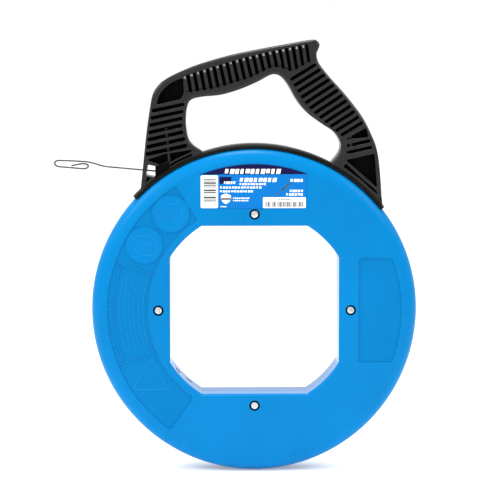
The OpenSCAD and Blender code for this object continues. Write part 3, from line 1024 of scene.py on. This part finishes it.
def make_rear_half(context):
    """The plain half of the case, with pockets for the nuts."""
    settings = context.scene.fish_tape_case
    finishes = kept_materials(context)
    bm = case_shell(settings)
    bm = combined(bm, joined(round_blocks(NUT_POCKET_RADIUS, 6, NUT_POCKET_DEPTH)))
    inner = settings.opening_corner / MM - 13
    edges = sharp_edges(
        bm, lambda m: m.y < -HALF_DEPTH + 0.01 and math.hypot(m.x, m.z) > inner, at_least=60
    )
    round_off(bm, edges, 0.3, 2)
    # Painted sheen: the wall of the opening gets the paler wall finish
    paint_faces(bm, PAINTED_SHEEN, lambda m, n: in_opening_wall(m, n, settings))
    bm = cut_anchor_slot(bm, REAR_ANCHOR, settings)
    finish_piece(
        mirrored(bm), "rear_case_shell", "reel",
        [finishes[name] for name in CASE_FINISHES], ["rear_case"],
    )


class FISHTAPE_OT_case_halves(bpy.types.Operator):
    """Builds the two moulded halves of the case"""

    bl_idname = "fish_tape.case_halves"
    bl_label = "Case halves"

    def execute(self, context):
        make_front_half(context)
        make_rear_half(context)
        return {"FINISHED"}


# Case fasteners


def make_case_screw(context, node, angle):
    """A pan head screw with a cross recess."""
    finishes = kept_materials(context)
    low, high = (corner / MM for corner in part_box(node))
    head_radius = (high.x - low.x) / 2
    top, tip = low.y, high.y
    seat = top + SCREW_HEAD_HEIGHT
    section = (
        [(0, top)] + [(head_radius * 0.5, top + 0.05)]
        + arc((head_radius - 1.6, top + 1.7), 1.6, -75, 0, 5)
        + [(head_radius, seat - 0.15), (head_radius - 0.15, seat), (2, seat), (2, tip - 0.5),
           (1.5, tip), (0, tip)]
    )
    bm = turned(section, closed=False, steps=40)
    cross = []
    for turn in (0, 90):
        bar = prism(box_outline(-2.3, -0.5, 2.3, 0.5), top - 1, top + 1.5)
        bmesh.ops.rotate(
            bar, verts=bar.verts, cent=(0, 0, 0),
            matrix=Matrix.Rotation(math.radians(turn + 20 + angle * 0.7), 3, "Y"),
        )
        cross.append(bar)
    for bar in cross:
        bm = combined(bm, bar)
    rims = sharp_edges(bm, lambda m: m.y < top + 0.6 and math.hypot(m.x, m.z) < 2.6, convex=True)
    round_off(bm, rims, 0.1, 1)
    x, z = polar(SCREW_CIRCLE, angle)
    bmesh.ops.translate(bm, verts=bm.verts, vec=(x, 0, z))
    finish_piece(bm, node + "_finished", "reel", [finishes["zinc_plate"]], [node])


class FISHTAPE_OT_case_fasteners(bpy.types.Operator):
    """Builds the four case screws and their nuts"""

    bl_idname = "fish_tape.case_fasteners"
    bl_label = "Case screws and nuts"

    def execute(self, context):
        zinc = kept_materials(context)["zinc_plate"]
        for side, angle in (("right", 0), ("top", 90), ("left", 180), ("bottom", 270)):
            make_case_screw(context, "case_screw_" + side, angle)
            rounded_copy("case_nut_" + side, "reel", zinc, 0.25)
        return {"FINISHED"}


# Label


def bars(left, right, foot, top, pattern, upright=True):
    """A row of printed bars whose widths follow a repeating pattern."""
    outlines = []
    span = right - left if upright else top - foot
    unit = span / sum(pattern)
    at = 0.0
    for i, width in enumerate(pattern):
        if i % 2 == 0:
            start, end = at * unit, (at + width) * unit
            if upright:
                outlines.append(box_outline(left + start, foot, left + end, top))
            else:
                outlines.append(box_outline(left, foot + start, right, foot + end))
        at += width
    return outlines


def print_lines(left, right, foot, top, count):
    """A line of print that says nothing: short blocks of uneven length."""
    outlines = []
    unit = (right - left) / count
    for i in range(count):
        width = unit * (0.62 + 0.2 * ((i * 5) % 3) / 2)
        start = left + i * unit
        rise = (top - foot) * (0.12 if (i * 3) % 4 == 0 else 0)
        outlines.append(box_outline(start, foot + rise, start + width, top, 0.25))
    return outlines


def slanted(outlines, foot, lean):
    """The same outlines leaning to the right."""
    return [[(x + (z - foot) * lean, z) for x, z in outline] for outline in outlines]


def label_prints():
    """The printed areas: (material index, outlines), each set laid over the one before."""
    band_foot = 134.3
    radius = LABEL_HIGH.z - 0.35
    first = math.degrees(math.asin(band_foot / radius))
    band = arc((0, 0), radius, first + 0.6, 180 - first - 0.2, 40)
    white_panels = [
        box_outline(-53.1, 101.5, -36, 133.7, 1.6),
        box_outline(8.2, 101.5, 50.4, 112.1, 1.2),
    ]
    code_pattern = [2, 1, 1, 1, 3, 1, 1, 2, 1, 1, 2, 1, 3, 2, 1, 1, 1, 1, 2, 1, 3, 1, 1, 1, 2]
    tall_bars = bars(-50.2, -38, 108, 130, code_pattern, upright=False)
    low_bars = bars(10.7, 47.8, 102.6, 107.6, code_pattern + [1] + code_pattern[::-1])
    title = slanted(print_lines(-29.6, 26, 135.2, 140, 11), 135.2, 0.2)
    text = (
        slanted(print_lines(-14.9, 22, 127.2, 131.2, 8), 127.2, 0.2)
        + print_lines(35.3, 48.5, 127.2, 130.1, 4)
        + print_lines(-14.9, 12, 124.1, 126, 10)
        + print_lines(-34.1, 7.2, 120.8, 122.7, 14)
        + print_lines(-34.1, -1, 117, 118.9, 12)
        + print_lines(-21.3, -4.6, 110.6, 111.9, 9)
        + print_lines(-21.3, -6, 108.2, 109.5, 8)
        + print_lines(-33.6, -27.2, 102.4, 103.5, 4)
        + print_lines(34.6, 48.1, 117.2, 119.5, 5)
        + print_lines(31, 48.1, 113.7, 116, 6)
    )
    shield = [
        (-33, 114), (-28.2, 116), (-23.4, 114), (-23.2, 110.4), (-25, 107.4), (-28.2, 105.5),
        (-31.4, 107.4), (-33.2, 110.4),
    ]
    shield_band = [box_outline(-33, 109.6, -23.4, 111.4, 0.3)]
    tape_picture = [
        slot_outline((20, 113), (28.6, 121), 0.7),
        slot_outline((27.4, 119.4), (34.8, 126.1), 1.7),
    ]
    top_print = print_lines(24, 36, 109, 110.3, 7)
    badge = box_outline(-34.6, 125.4, -22.9, 132.2, 0.4)
    badge_bars = slanted(print_lines(-30.4, -19, 125.2, 127.8, 5), 125.2, 0.2)
    return [
        (1, [band, badge]),
        (2, white_panels + title + text + badge_bars + [rounded_outline(shield, 0.6)]),
        (3, tall_bars + low_bars + shield_band + tape_picture + top_print),
    ]


class FISHTAPE_OT_label(bpy.types.Operator):
    """Builds the printed label on the front half"""

    bl_idname = "fish_tape.label"
    bl_label = "Label"

    def execute(self, context):
        finishes = kept_materials(context)
        front = LABEL_LOW.y
        plate = prism(label_shape(0), front, LABEL_HIGH.y)
        round_off(plate, sharp_edges(plate, lambda m: m.y < front + 0.01), 0.05, 1)
        parts = [plate]
        for layer, (index, outlines) in enumerate(label_prints()):
            for outline in outlines:
                ink = prism(outline, front - 0.02 * (layer + 1), front + 0.02)
                for face in ink.faces:
                    face.material_index = index
                parts.append(ink)
        names = ["label_field", "label_band", "label_white", "label_ink"]
        finish_piece(
            joined(parts), "front_label_printed", "reel",
            [finishes[name] for name in names], ["front_label"],
        )
        return {"FINISHED"}


# Tape


def make_coil(context):
    """The wound tape: one ring whose section shows every turn of the outer layers."""
    settings = context.scene.fish_tape_tape
    inner = COIL_INNER
    outer = COIL_HIGH.x
    half = COIL_HIGH.y
    column = 2 * half / settings.columns
    layer = (outer - inner) / settings.layers
    notch = 0.35
    section = []
    for i in range(settings.columns):
        start = -half + i * column
        section += [
            (outer - notch, start + 0.05), (outer, start + notch),
            (outer, start + column - notch), (outer - notch, start + column - 0.05),
        ]
    for i in range(settings.layers):
        start = outer - i * layer
        section += [
            (start - 0.3, half - 0.05), (start - layer + 0.3, half - 0.05),
            (start - layer, half - notch),
        ]
    section.append((inner, -half + notch))
    for i in range(settings.layers):
        start = inner + i * layer
        section += [
            (start + 0.3, -half + 0.05), (start + layer - 0.3, -half + 0.05),
            (start + layer, -half + notch),
        ]
    section.pop()
    bm = turned(section, steps=180)
    finish_piece(
        bm, "tape_windings", "reel", [kept_materials(context)["tape_steel"]],
        ["tape_coil"],
    )


def make_tape_end(context):
    """The end of the tape outside the case, with its formed eye, as one bent strip."""
    settings = context.scene.fish_tape_tape
    route = smooth([on_tape_line(distance) for distance in (0, 50, 100, LEAD_LENGTH)], 6)
    route += smooth([on_tape_line(LEAD_LENGTH + 3)] + HOOK_ROUTE, 6)[1:]
    half = settings.thickness / MM / 2
    side = settings.width / MM / 2
    corner = half * 0.75
    section = []
    for centre, first in (
        ((half - corner, side - corner), 0), ((corner - half, side - corner), 90),
        ((corner - half, corner - side), 180), ((half - corner, corner - side), 270),
    ):
        section += arc(centre, corner, first, first + 90, 4)
    rings = []
    for i, point in enumerate(route):
        before = Vector(route[max(i - 1, 0)])
        after = Vector(route[min(i + 1, len(route) - 1)])
        heading = (after - before).normalized()
        rings.append([
            (point[0] - heading.y * u, v, point[1] + heading.x * u) for u, v in section
        ])
    bm = lofted(rings)
    finish_piece(
        bm, "tape_end", "tape", [kept_materials(context)["tape_steel"]],
        ["tape_lead", "tape_hook"],
    )


def on_tape_line(distance):
    """A point on the straight line that the tape leaves the case on."""
    rise = math.radians(TAPE_RISE)
    foot = Vector((math.sin(rise), math.cos(rise))) * TAPE_LINE_RADIUS
    return tuple(foot + distance * Vector((-math.cos(rise), math.sin(rise))))


class FISHTAPE_OT_tape(bpy.types.Operator):
    """Builds the wound tape, its anchored tail and its free end"""

    bl_idname = "fish_tape.tape"
    bl_label = "Tape"

    def execute(self, context):
        make_coil(context)
        make_tape_end(context)
        steel = kept_materials(context)["tape_steel"]
        rounded_copy("tape_tail", "reel", steel, 0.25)
        return {"FINISHED"}


# Handle


def rim_offset_section(settings, gap, half_width, steps=6):
    """The outside of the case grown by a gap, from one side to the other."""
    shoulder = settings.shoulder / MM
    centre = (CASE_RADIUS - shoulder, HALF_DEPTH - shoulder)
    radius = shoulder + gap
    lean = math.degrees(math.asin((half_width - centre[1]) / radius))
    rear = arc(centre, radius, 0, lean, steps)
    return [(x, -y) for x, y in reversed(rear)] + rear


def shoe_space(settings):
    """The space that the shoe and the case take up under the handle."""
    side = rim_offset_section(settings, SHOE_GAP + SHOE_THICKNESS, HALF_DEPTH - 1, 12)
    return turned([(100, -HALF_DEPTH + 1)] + side + [(100, HALF_DEPTH - 1)], steps=360)


def raised_rib(start, end, width, height, slope):
    """A rounded bar on the front surface of the handle, sloped at its start."""
    along = (Vector(end) - Vector(start)).normalized()
    length = math.dist(start, end)
    corner = min(width * 0.3, height)
    rings = []
    for distance, rise in ((0, -0.3), (slope, height), (length - slope / 2, height), (length, -0.3)):
        base = Vector(start) + along * distance
        profile = (
            [(width / 2, -1.2)]
            + arc((width / 2 - corner, rise - corner), corner, 0, 90, 4)
            + arc((corner - width / 2, rise - corner), corner, 90, 180, 4)
            + [(-width / 2, -1.2)]
        )
        rings.append([
            (base.x - along.y * u, -HANDLE_HALF - v, base.y + along.x * u) for u, v in profile
        ])
    return lofted(rings)


def between(first, second, count):
    """Starts and ends halfway between neighbouring slots of a row."""
    starts = spread(first, 2 * count - 1)[1::2]
    ends = spread(second, 2 * count - 1)[1::2]
    return list(zip(starts, ends))


def front_ribs(settings):
    """The raised ribs between the slots of the grip and of both legs."""
    rows = between(GRIP_SLOT_TOPS, GRIP_SLOT_FEET, 19)
    rows.append(FIRST_GRIP_RIB)
    parts = []
    for top, foot in rows:
        down = (Vector(foot) - Vector(top)).normalized()
        start = Vector(top) + down * settings.rib_setback / MM
        parts.append(raised_rib(start, Vector(foot) - down, 3.5, settings.grip_rib / MM, 2.6))
    for first, second, count, width in (
        (LEFT_SLOT_OUTER, LEFT_SLOT_INNER, 7, 3.1), (RIGHT_SLOT_INNER, RIGHT_SLOT_OUTER, 12, 3.3),
    ):
        for start, end in between(first, second, count):
            parts.append(raised_rib(start, end, width, settings.leg_rib / MM, 1))
    parts.append(raised_rib(*FOOT_RIDGE, 1.6, 0.9, 0.6))
    return parts


def anticlockwise(points):
    """The same outline, in anticlockwise order."""
    area = sum(
        a[0] * b[1] - b[0] * a[1] for a, b in zip(points, points[1:] + points[:1])
    )
    return points if area > 0 else points[::-1]


def grip_slots(settings):
    """The slots of the grip."""
    width = settings.grip_slot_width / MM
    return [
        slot_outline(top, foot, width)
        for top, foot in zip(spread(GRIP_SLOT_TOPS, 19), spread(GRIP_SLOT_FEET, 19))
    ]


def leg_slots(settings):
    """The slots and pockets of both legs and the plain pocket beside the grip."""
    width = settings.slot_width / MM
    outlines = []
    rows = (
        (LEFT_SLOT_OUTER, LEFT_SLOT_INNER, 7, 1.2), (RIGHT_SLOT_INNER, RIGHT_SLOT_OUTER, 12, 1),
    )
    for first, second, count, wider in rows:
        for start, end in zip(spread(first, count), spread(second, count)):
            outlines.append(slot_outline(start, end, width * wider))
    outlines += [slot_outline(start, end, width) for start, end in RIGHT_FOOT_SLOTS]
    outlines += [rounded_outline(pocket, 2.2) for pocket in SIDE_POCKETS]
    outlines += [rounded_outline(groove, 0.6) for groove in FOOT_GROOVES]
    return outlines


def slot_cutter(outline, settings):
    """What a slot takes away in front of the web, with a rounded lip at the surface."""
    outline = anticlockwise(outline)
    lip = settings.lip / MM
    rings = [[(x, -HANDLE_HALF - 3, z) for x, z in grown(outline, lip)]]
    for grow, depth in ((1, 0), (0.5, 0.22), (0.15, 0.6), (0, 1.1)):
        rings.append([(x, depth * lip - HANDLE_HALF, z) for x, z in grown(outline, grow * lip)])
    rings.append([(x, -settings.web / MM / 2, z) for x, z in outline])
    return lofted(rings)


def inner_ribs(settings):
    """Upright ribs that show deep in the slots of both legs."""
    web = settings.web / MM / 2
    routes = (
        [(-85.1, 145.9), (-82.8, 145.8), (-86.1, 179.9), (-88.3, 179.9)],
        [(95, 158), (97.6, 158), (95.8, 177), (93, 177)],
    )
    parts = []
    for route in routes:
        parts.append(prism(route, -HANDLE_HALF + 6, -web + 1))
        parts.append(prism(route, web - 1, HANDLE_HALF - 6))
    return parts


def make_handle_body(context):
    """The one-piece handle: rounded frame, ribbed grip and legs, blind slots on both sides."""
    settings = context.scene.fish_tape_handle
    finishes = kept_materials(context)
    bm = prism(smooth(HANDLE_OUTLINE, 5), -HANDLE_HALF, HANDLE_HALF)
    bm = combined(bm, prism(smooth(HAND_OPENING, 5), -HANDLE_HALF - 2, HANDLE_HALF + 2))
    flatten_coplanar(bm)
    frame_edges = sharp_edges(bm, lambda m: abs(m.y) > HANDLE_HALF - 0.01 and m.z > 110)
    round_off(bm, frame_edges, settings.edge_round / MM, 6)
    bm = combined(bm, shoe_space(context.scene.fish_tape_case))
    bm = combined(bm, prism(rounded_outline(TAPE_WINDOW, 1.5), -HANDLE_HALF - 2, HANDLE_HALF + 2))
    for outlines in (grip_slots(settings), leg_slots(settings)):
        for turn_over in (False, True):
            slots = joined([slot_cutter(outline, settings) for outline in outlines])
            bm = combined(bm, mirrored(slots) if turn_over else slots)
    # Painted shade: the deep faces of the slots get the darker recess finish
    paint_faces(bm, 1, lambda m, n: settings.web / MM / 2 - 0.1 < abs(m.y) < 12.5)
    front = front_ribs(settings)
    rear = [mirrored(rib) for rib in front_ribs(settings)]
    bm = joined([bm] + inner_ribs(settings) + front + rear)
    finish_piece(
        bm, "handle_moulding", "handle",
        [finishes["handle_nylon"], finishes["painted_shade_nylon"]],
        ["handle_body"],
    )


class FISHTAPE_OT_handle(bpy.types.Operator):
    """Builds the moulded handle"""

    bl_idname = "fish_tape.handle"
    bl_label = "Handle"

    def execute(self, context):
        make_handle_body(context)
        return {"FINISHED"}


# Shoe


def make_shoe(context):
    """The curved plate that the handle stands on."""
    settings = context.scene.fish_tape_case
    inner = rim_offset_section(settings, SHOE_GAP, SHOE_HALF)
    outer = rim_offset_section(settings, SHOE_GAP + SHOE_THICKNESS, SHOE_HALF)
    bm = arched(outer + inner[::-1], *SHOE_ANGLES, 100)
    round_off(bm, sharp_edges(bm, lambda m: True, 50), 0.35, 2)
    finish_piece(
        bm, "shoe_plate", "handle", [kept_materials(context)["shoe_nylon"]],
        ["handle_shoe"],
    )


class FISHTAPE_OT_shoe(bpy.types.Operator):
    """Builds the shoe plate, the runner, the wear strips and the shoe screws"""

    bl_idname = "fish_tape.shoe"
    bl_label = "Shoe"

    def execute(self, context):
        finishes = kept_materials(context)
        make_shoe(context)
        for node, slot, finish, width in (
            ("shoe_runner", "handle_plastic", "shoe_nylon", 0.3),
            ("front_wear_strip", "wear_plastic", "slide_plastic", 0.2),
            ("rear_wear_strip", "wear_plastic", "slide_plastic", 0.2),
            ("shoe_screw_left", "zinc_steel", "zinc_plate", 0.1),
            ("shoe_screw_middle", "zinc_steel", "zinc_plate", 0.1),
            ("shoe_screw_right", "zinc_steel", "zinc_plate", 0.1),
        ):
            rounded_copy(node, "handle", finishes[finish], width)
        return {"FINISHED"}


class FISHTAPE_OT_tape_guide(bpy.types.Operator):
    """Builds the tape guide, its cross pin and the exit bush"""

    bl_idname = "fish_tape.tape_guide"
    bl_label = "Tape guide"

    def execute(self, context):
        finishes = kept_materials(context)
        for node, slot, finish, width in (
            ("tape_guide", "guide_plastic", "slide_plastic", 0.3),
            ("guide_pin", "bright_steel", "polished_steel", 0.2),
            ("exit_bush", "bright_steel", "polished_steel", 0.2),
        ):
            rounded_copy(node, "handle", finishes[finish], width)
        return {"FINISHED"}


# Stage


def soft_light(name, place, target, size, power, shape=(1.0, 1.0)):
    """A soft area light that faces a point."""
    data = bpy.data.lights.new(name, "AREA")
    data.shape = "RECTANGLE"
    data.size = size * shape[0]
    data.size_y = size * shape[1]
    data.energy = power
    light = bpy.data.objects.new(name, data)
    light.location = place
    light.rotation_mode = "QUATERNION"
    light.rotation_quaternion = (Vector(target) - Vector(place)).to_track_quat("-Z", "Y")
    bpy.context.scene.collection.objects.link(light)


class FISHTAPE_OT_stage(bpy.types.Operator):
    """Makes the floor, the soft light and the camera"""

    bl_idname = "fish_tape.stage"
    bl_label = "Stage"

    def execute(self, context):
        settings = context.scene.fish_tape_stage
        backdrop = tuple(settings.backdrop)
        floor_mesh = bmesh.new()
        bmesh.ops.create_grid(floor_mesh, x_segments=1, y_segments=1, size=9)
        bmesh.ops.translate(floor_mesh, verts=floor_mesh.verts, vec=(0, 0, frame_low.z - 0.0002))
        mesh = bpy.data.meshes.new("floor")
        floor_mesh.to_mesh(mesh)
        floor_mesh.free()
        material, principled, place = shader("pale_floor")
        tint = blend_colours(
            material, remap(material, noise(material, place, 3, 2), 0, 1),
            shade(backdrop, 0.985), backdrop,
        )
        material.node_tree.links.new(tint, principled.inputs["Base Color"])
        principled.inputs["Roughness"].default_value = 0.9
        principled.inputs["Emission Color"].default_value = (1, 1, 1, 1)
        principled.inputs["Emission Strength"].default_value = 0.25
        principled.inputs["Specular IOR Level"].default_value = 0.1
        mesh.materials.append(material)
        floor = bpy.data.objects.new("floor", mesh)
        context.scene.collection.objects.link(floor)

        world = bpy.data.worlds.new("studio")
        world.use_nodes = True
        world.node_tree.nodes["Background"].inputs["Color"].default_value = (1, 1, 1, 1)
        world.node_tree.nodes["Background"].inputs["Strength"].default_value = 1.0
        context.scene.world = world
        context.scene.view_settings.view_transform = "Standard"

        middle = (0, 0, 0.05)
        soft_light("key", (-0.8, -1.9, 1.1), middle, 1.1, 5)
        soft_light("overhead", (-0.1, -0.15, 1.6), middle, 0.4, 19, (1.3, 0.75))
        soft_light("left_box", (-1.3, -0.45, 1.1), middle, 0.6, 11)
        soft_light("right_box", (1.3, -0.45, 1.1), middle, 0.6, 9)

        data = bpy.data.cameras.new("camera")
        data.lens = settings.lens
        data.sensor_width = 36
        data.clip_end = 50
        camera = bpy.data.objects.new("camera", data)
        target = Vector(CAMERA_TARGET) * MM
        level = math.cos(settings.elevation)
        back = Vector((
            math.sin(settings.azimuth) * level,
            -math.cos(settings.azimuth) * level,
            math.sin(settings.elevation),
        ))
        camera.location = target + back * settings.distance
        camera.rotation_mode = "QUATERNION"
        camera.rotation_quaternion = (-back).to_track_quat("-Z", "Y")
        context.scene.collection.objects.link(camera)
        context.scene.camera = camera
        return {"FINISHED"}


class FISHTAPE_PT_pieces(bpy.types.Panel):
    """Lists what the add-on builds"""

    bl_idname = "FISHTAPE_PT_pieces"
    bl_label = "Fish tape reel"
    bl_space_type = "VIEW_3D"
    bl_region_type = "UI"
    bl_category = "Fish Tape"

    def draw(self, context):
        scene = context.scene
        for settings, operators in (
            (scene.fish_tape_case, ("case_halves", "case_fasteners")),
            (scene.fish_tape_label, ("label",)),
            (scene.fish_tape_tape, ("tape",)),
            (scene.fish_tape_handle, ("handle", "shoe", "tape_guide")),
            (scene.fish_tape_stage, ("stage",)),
        ):
            box = self.layout.box()
            for name in settings.__annotations__:
                box.prop(settings, name)
            for operator in operators:
                box.operator("fish_tape." + operator)


SETTINGS = {
    "fish_tape_case": FishTapeCaseSettings,
    "fish_tape_handle": FishTapeHandleSettings,
    "fish_tape_tape": FishTapeTapeSettings,
    "fish_tape_label": FishTapeLabelSettings,
    "fish_tape_stage": FishTapeStageSettings,
}
CLASSES = (
    *SETTINGS.values(),
    FISHTAPE_OT_case_halves,
    FISHTAPE_OT_case_fasteners,
    FISHTAPE_OT_label,
    FISHTAPE_OT_tape,
    FISHTAPE_OT_handle,
    FISHTAPE_OT_shoe,
    FISHTAPE_OT_tape_guide,
    FISHTAPE_OT_stage,
    FISHTAPE_PT_pieces,
)


def register():
    for made_class in CLASSES:
        bpy.utils.register_class(made_class)
    for name, group in SETTINGS.items():
        setattr(bpy.types.Scene, name, bpy.props.PointerProperty(type=group))


def unregister():
    for name in SETTINGS:
        delattr(bpy.types.Scene, name)
    for made_class in reversed(CLASSES):
        bpy.utils.unregister_class(made_class)


def main():
    """Builds every piece and the stage."""
    register()
    bpy.ops.fish_tape.stage()
    bpy.ops.fish_tape.case_halves()
    bpy.ops.fish_tape.case_fasteners()
    bpy.ops.fish_tape.label()
    bpy.ops.fish_tape.tape()
    bpy.ops.fish_tape.handle()
    bpy.ops.fish_tape.shoe()
    bpy.ops.fish_tape.tape_guide()


if __name__ == "__main__":
    main()
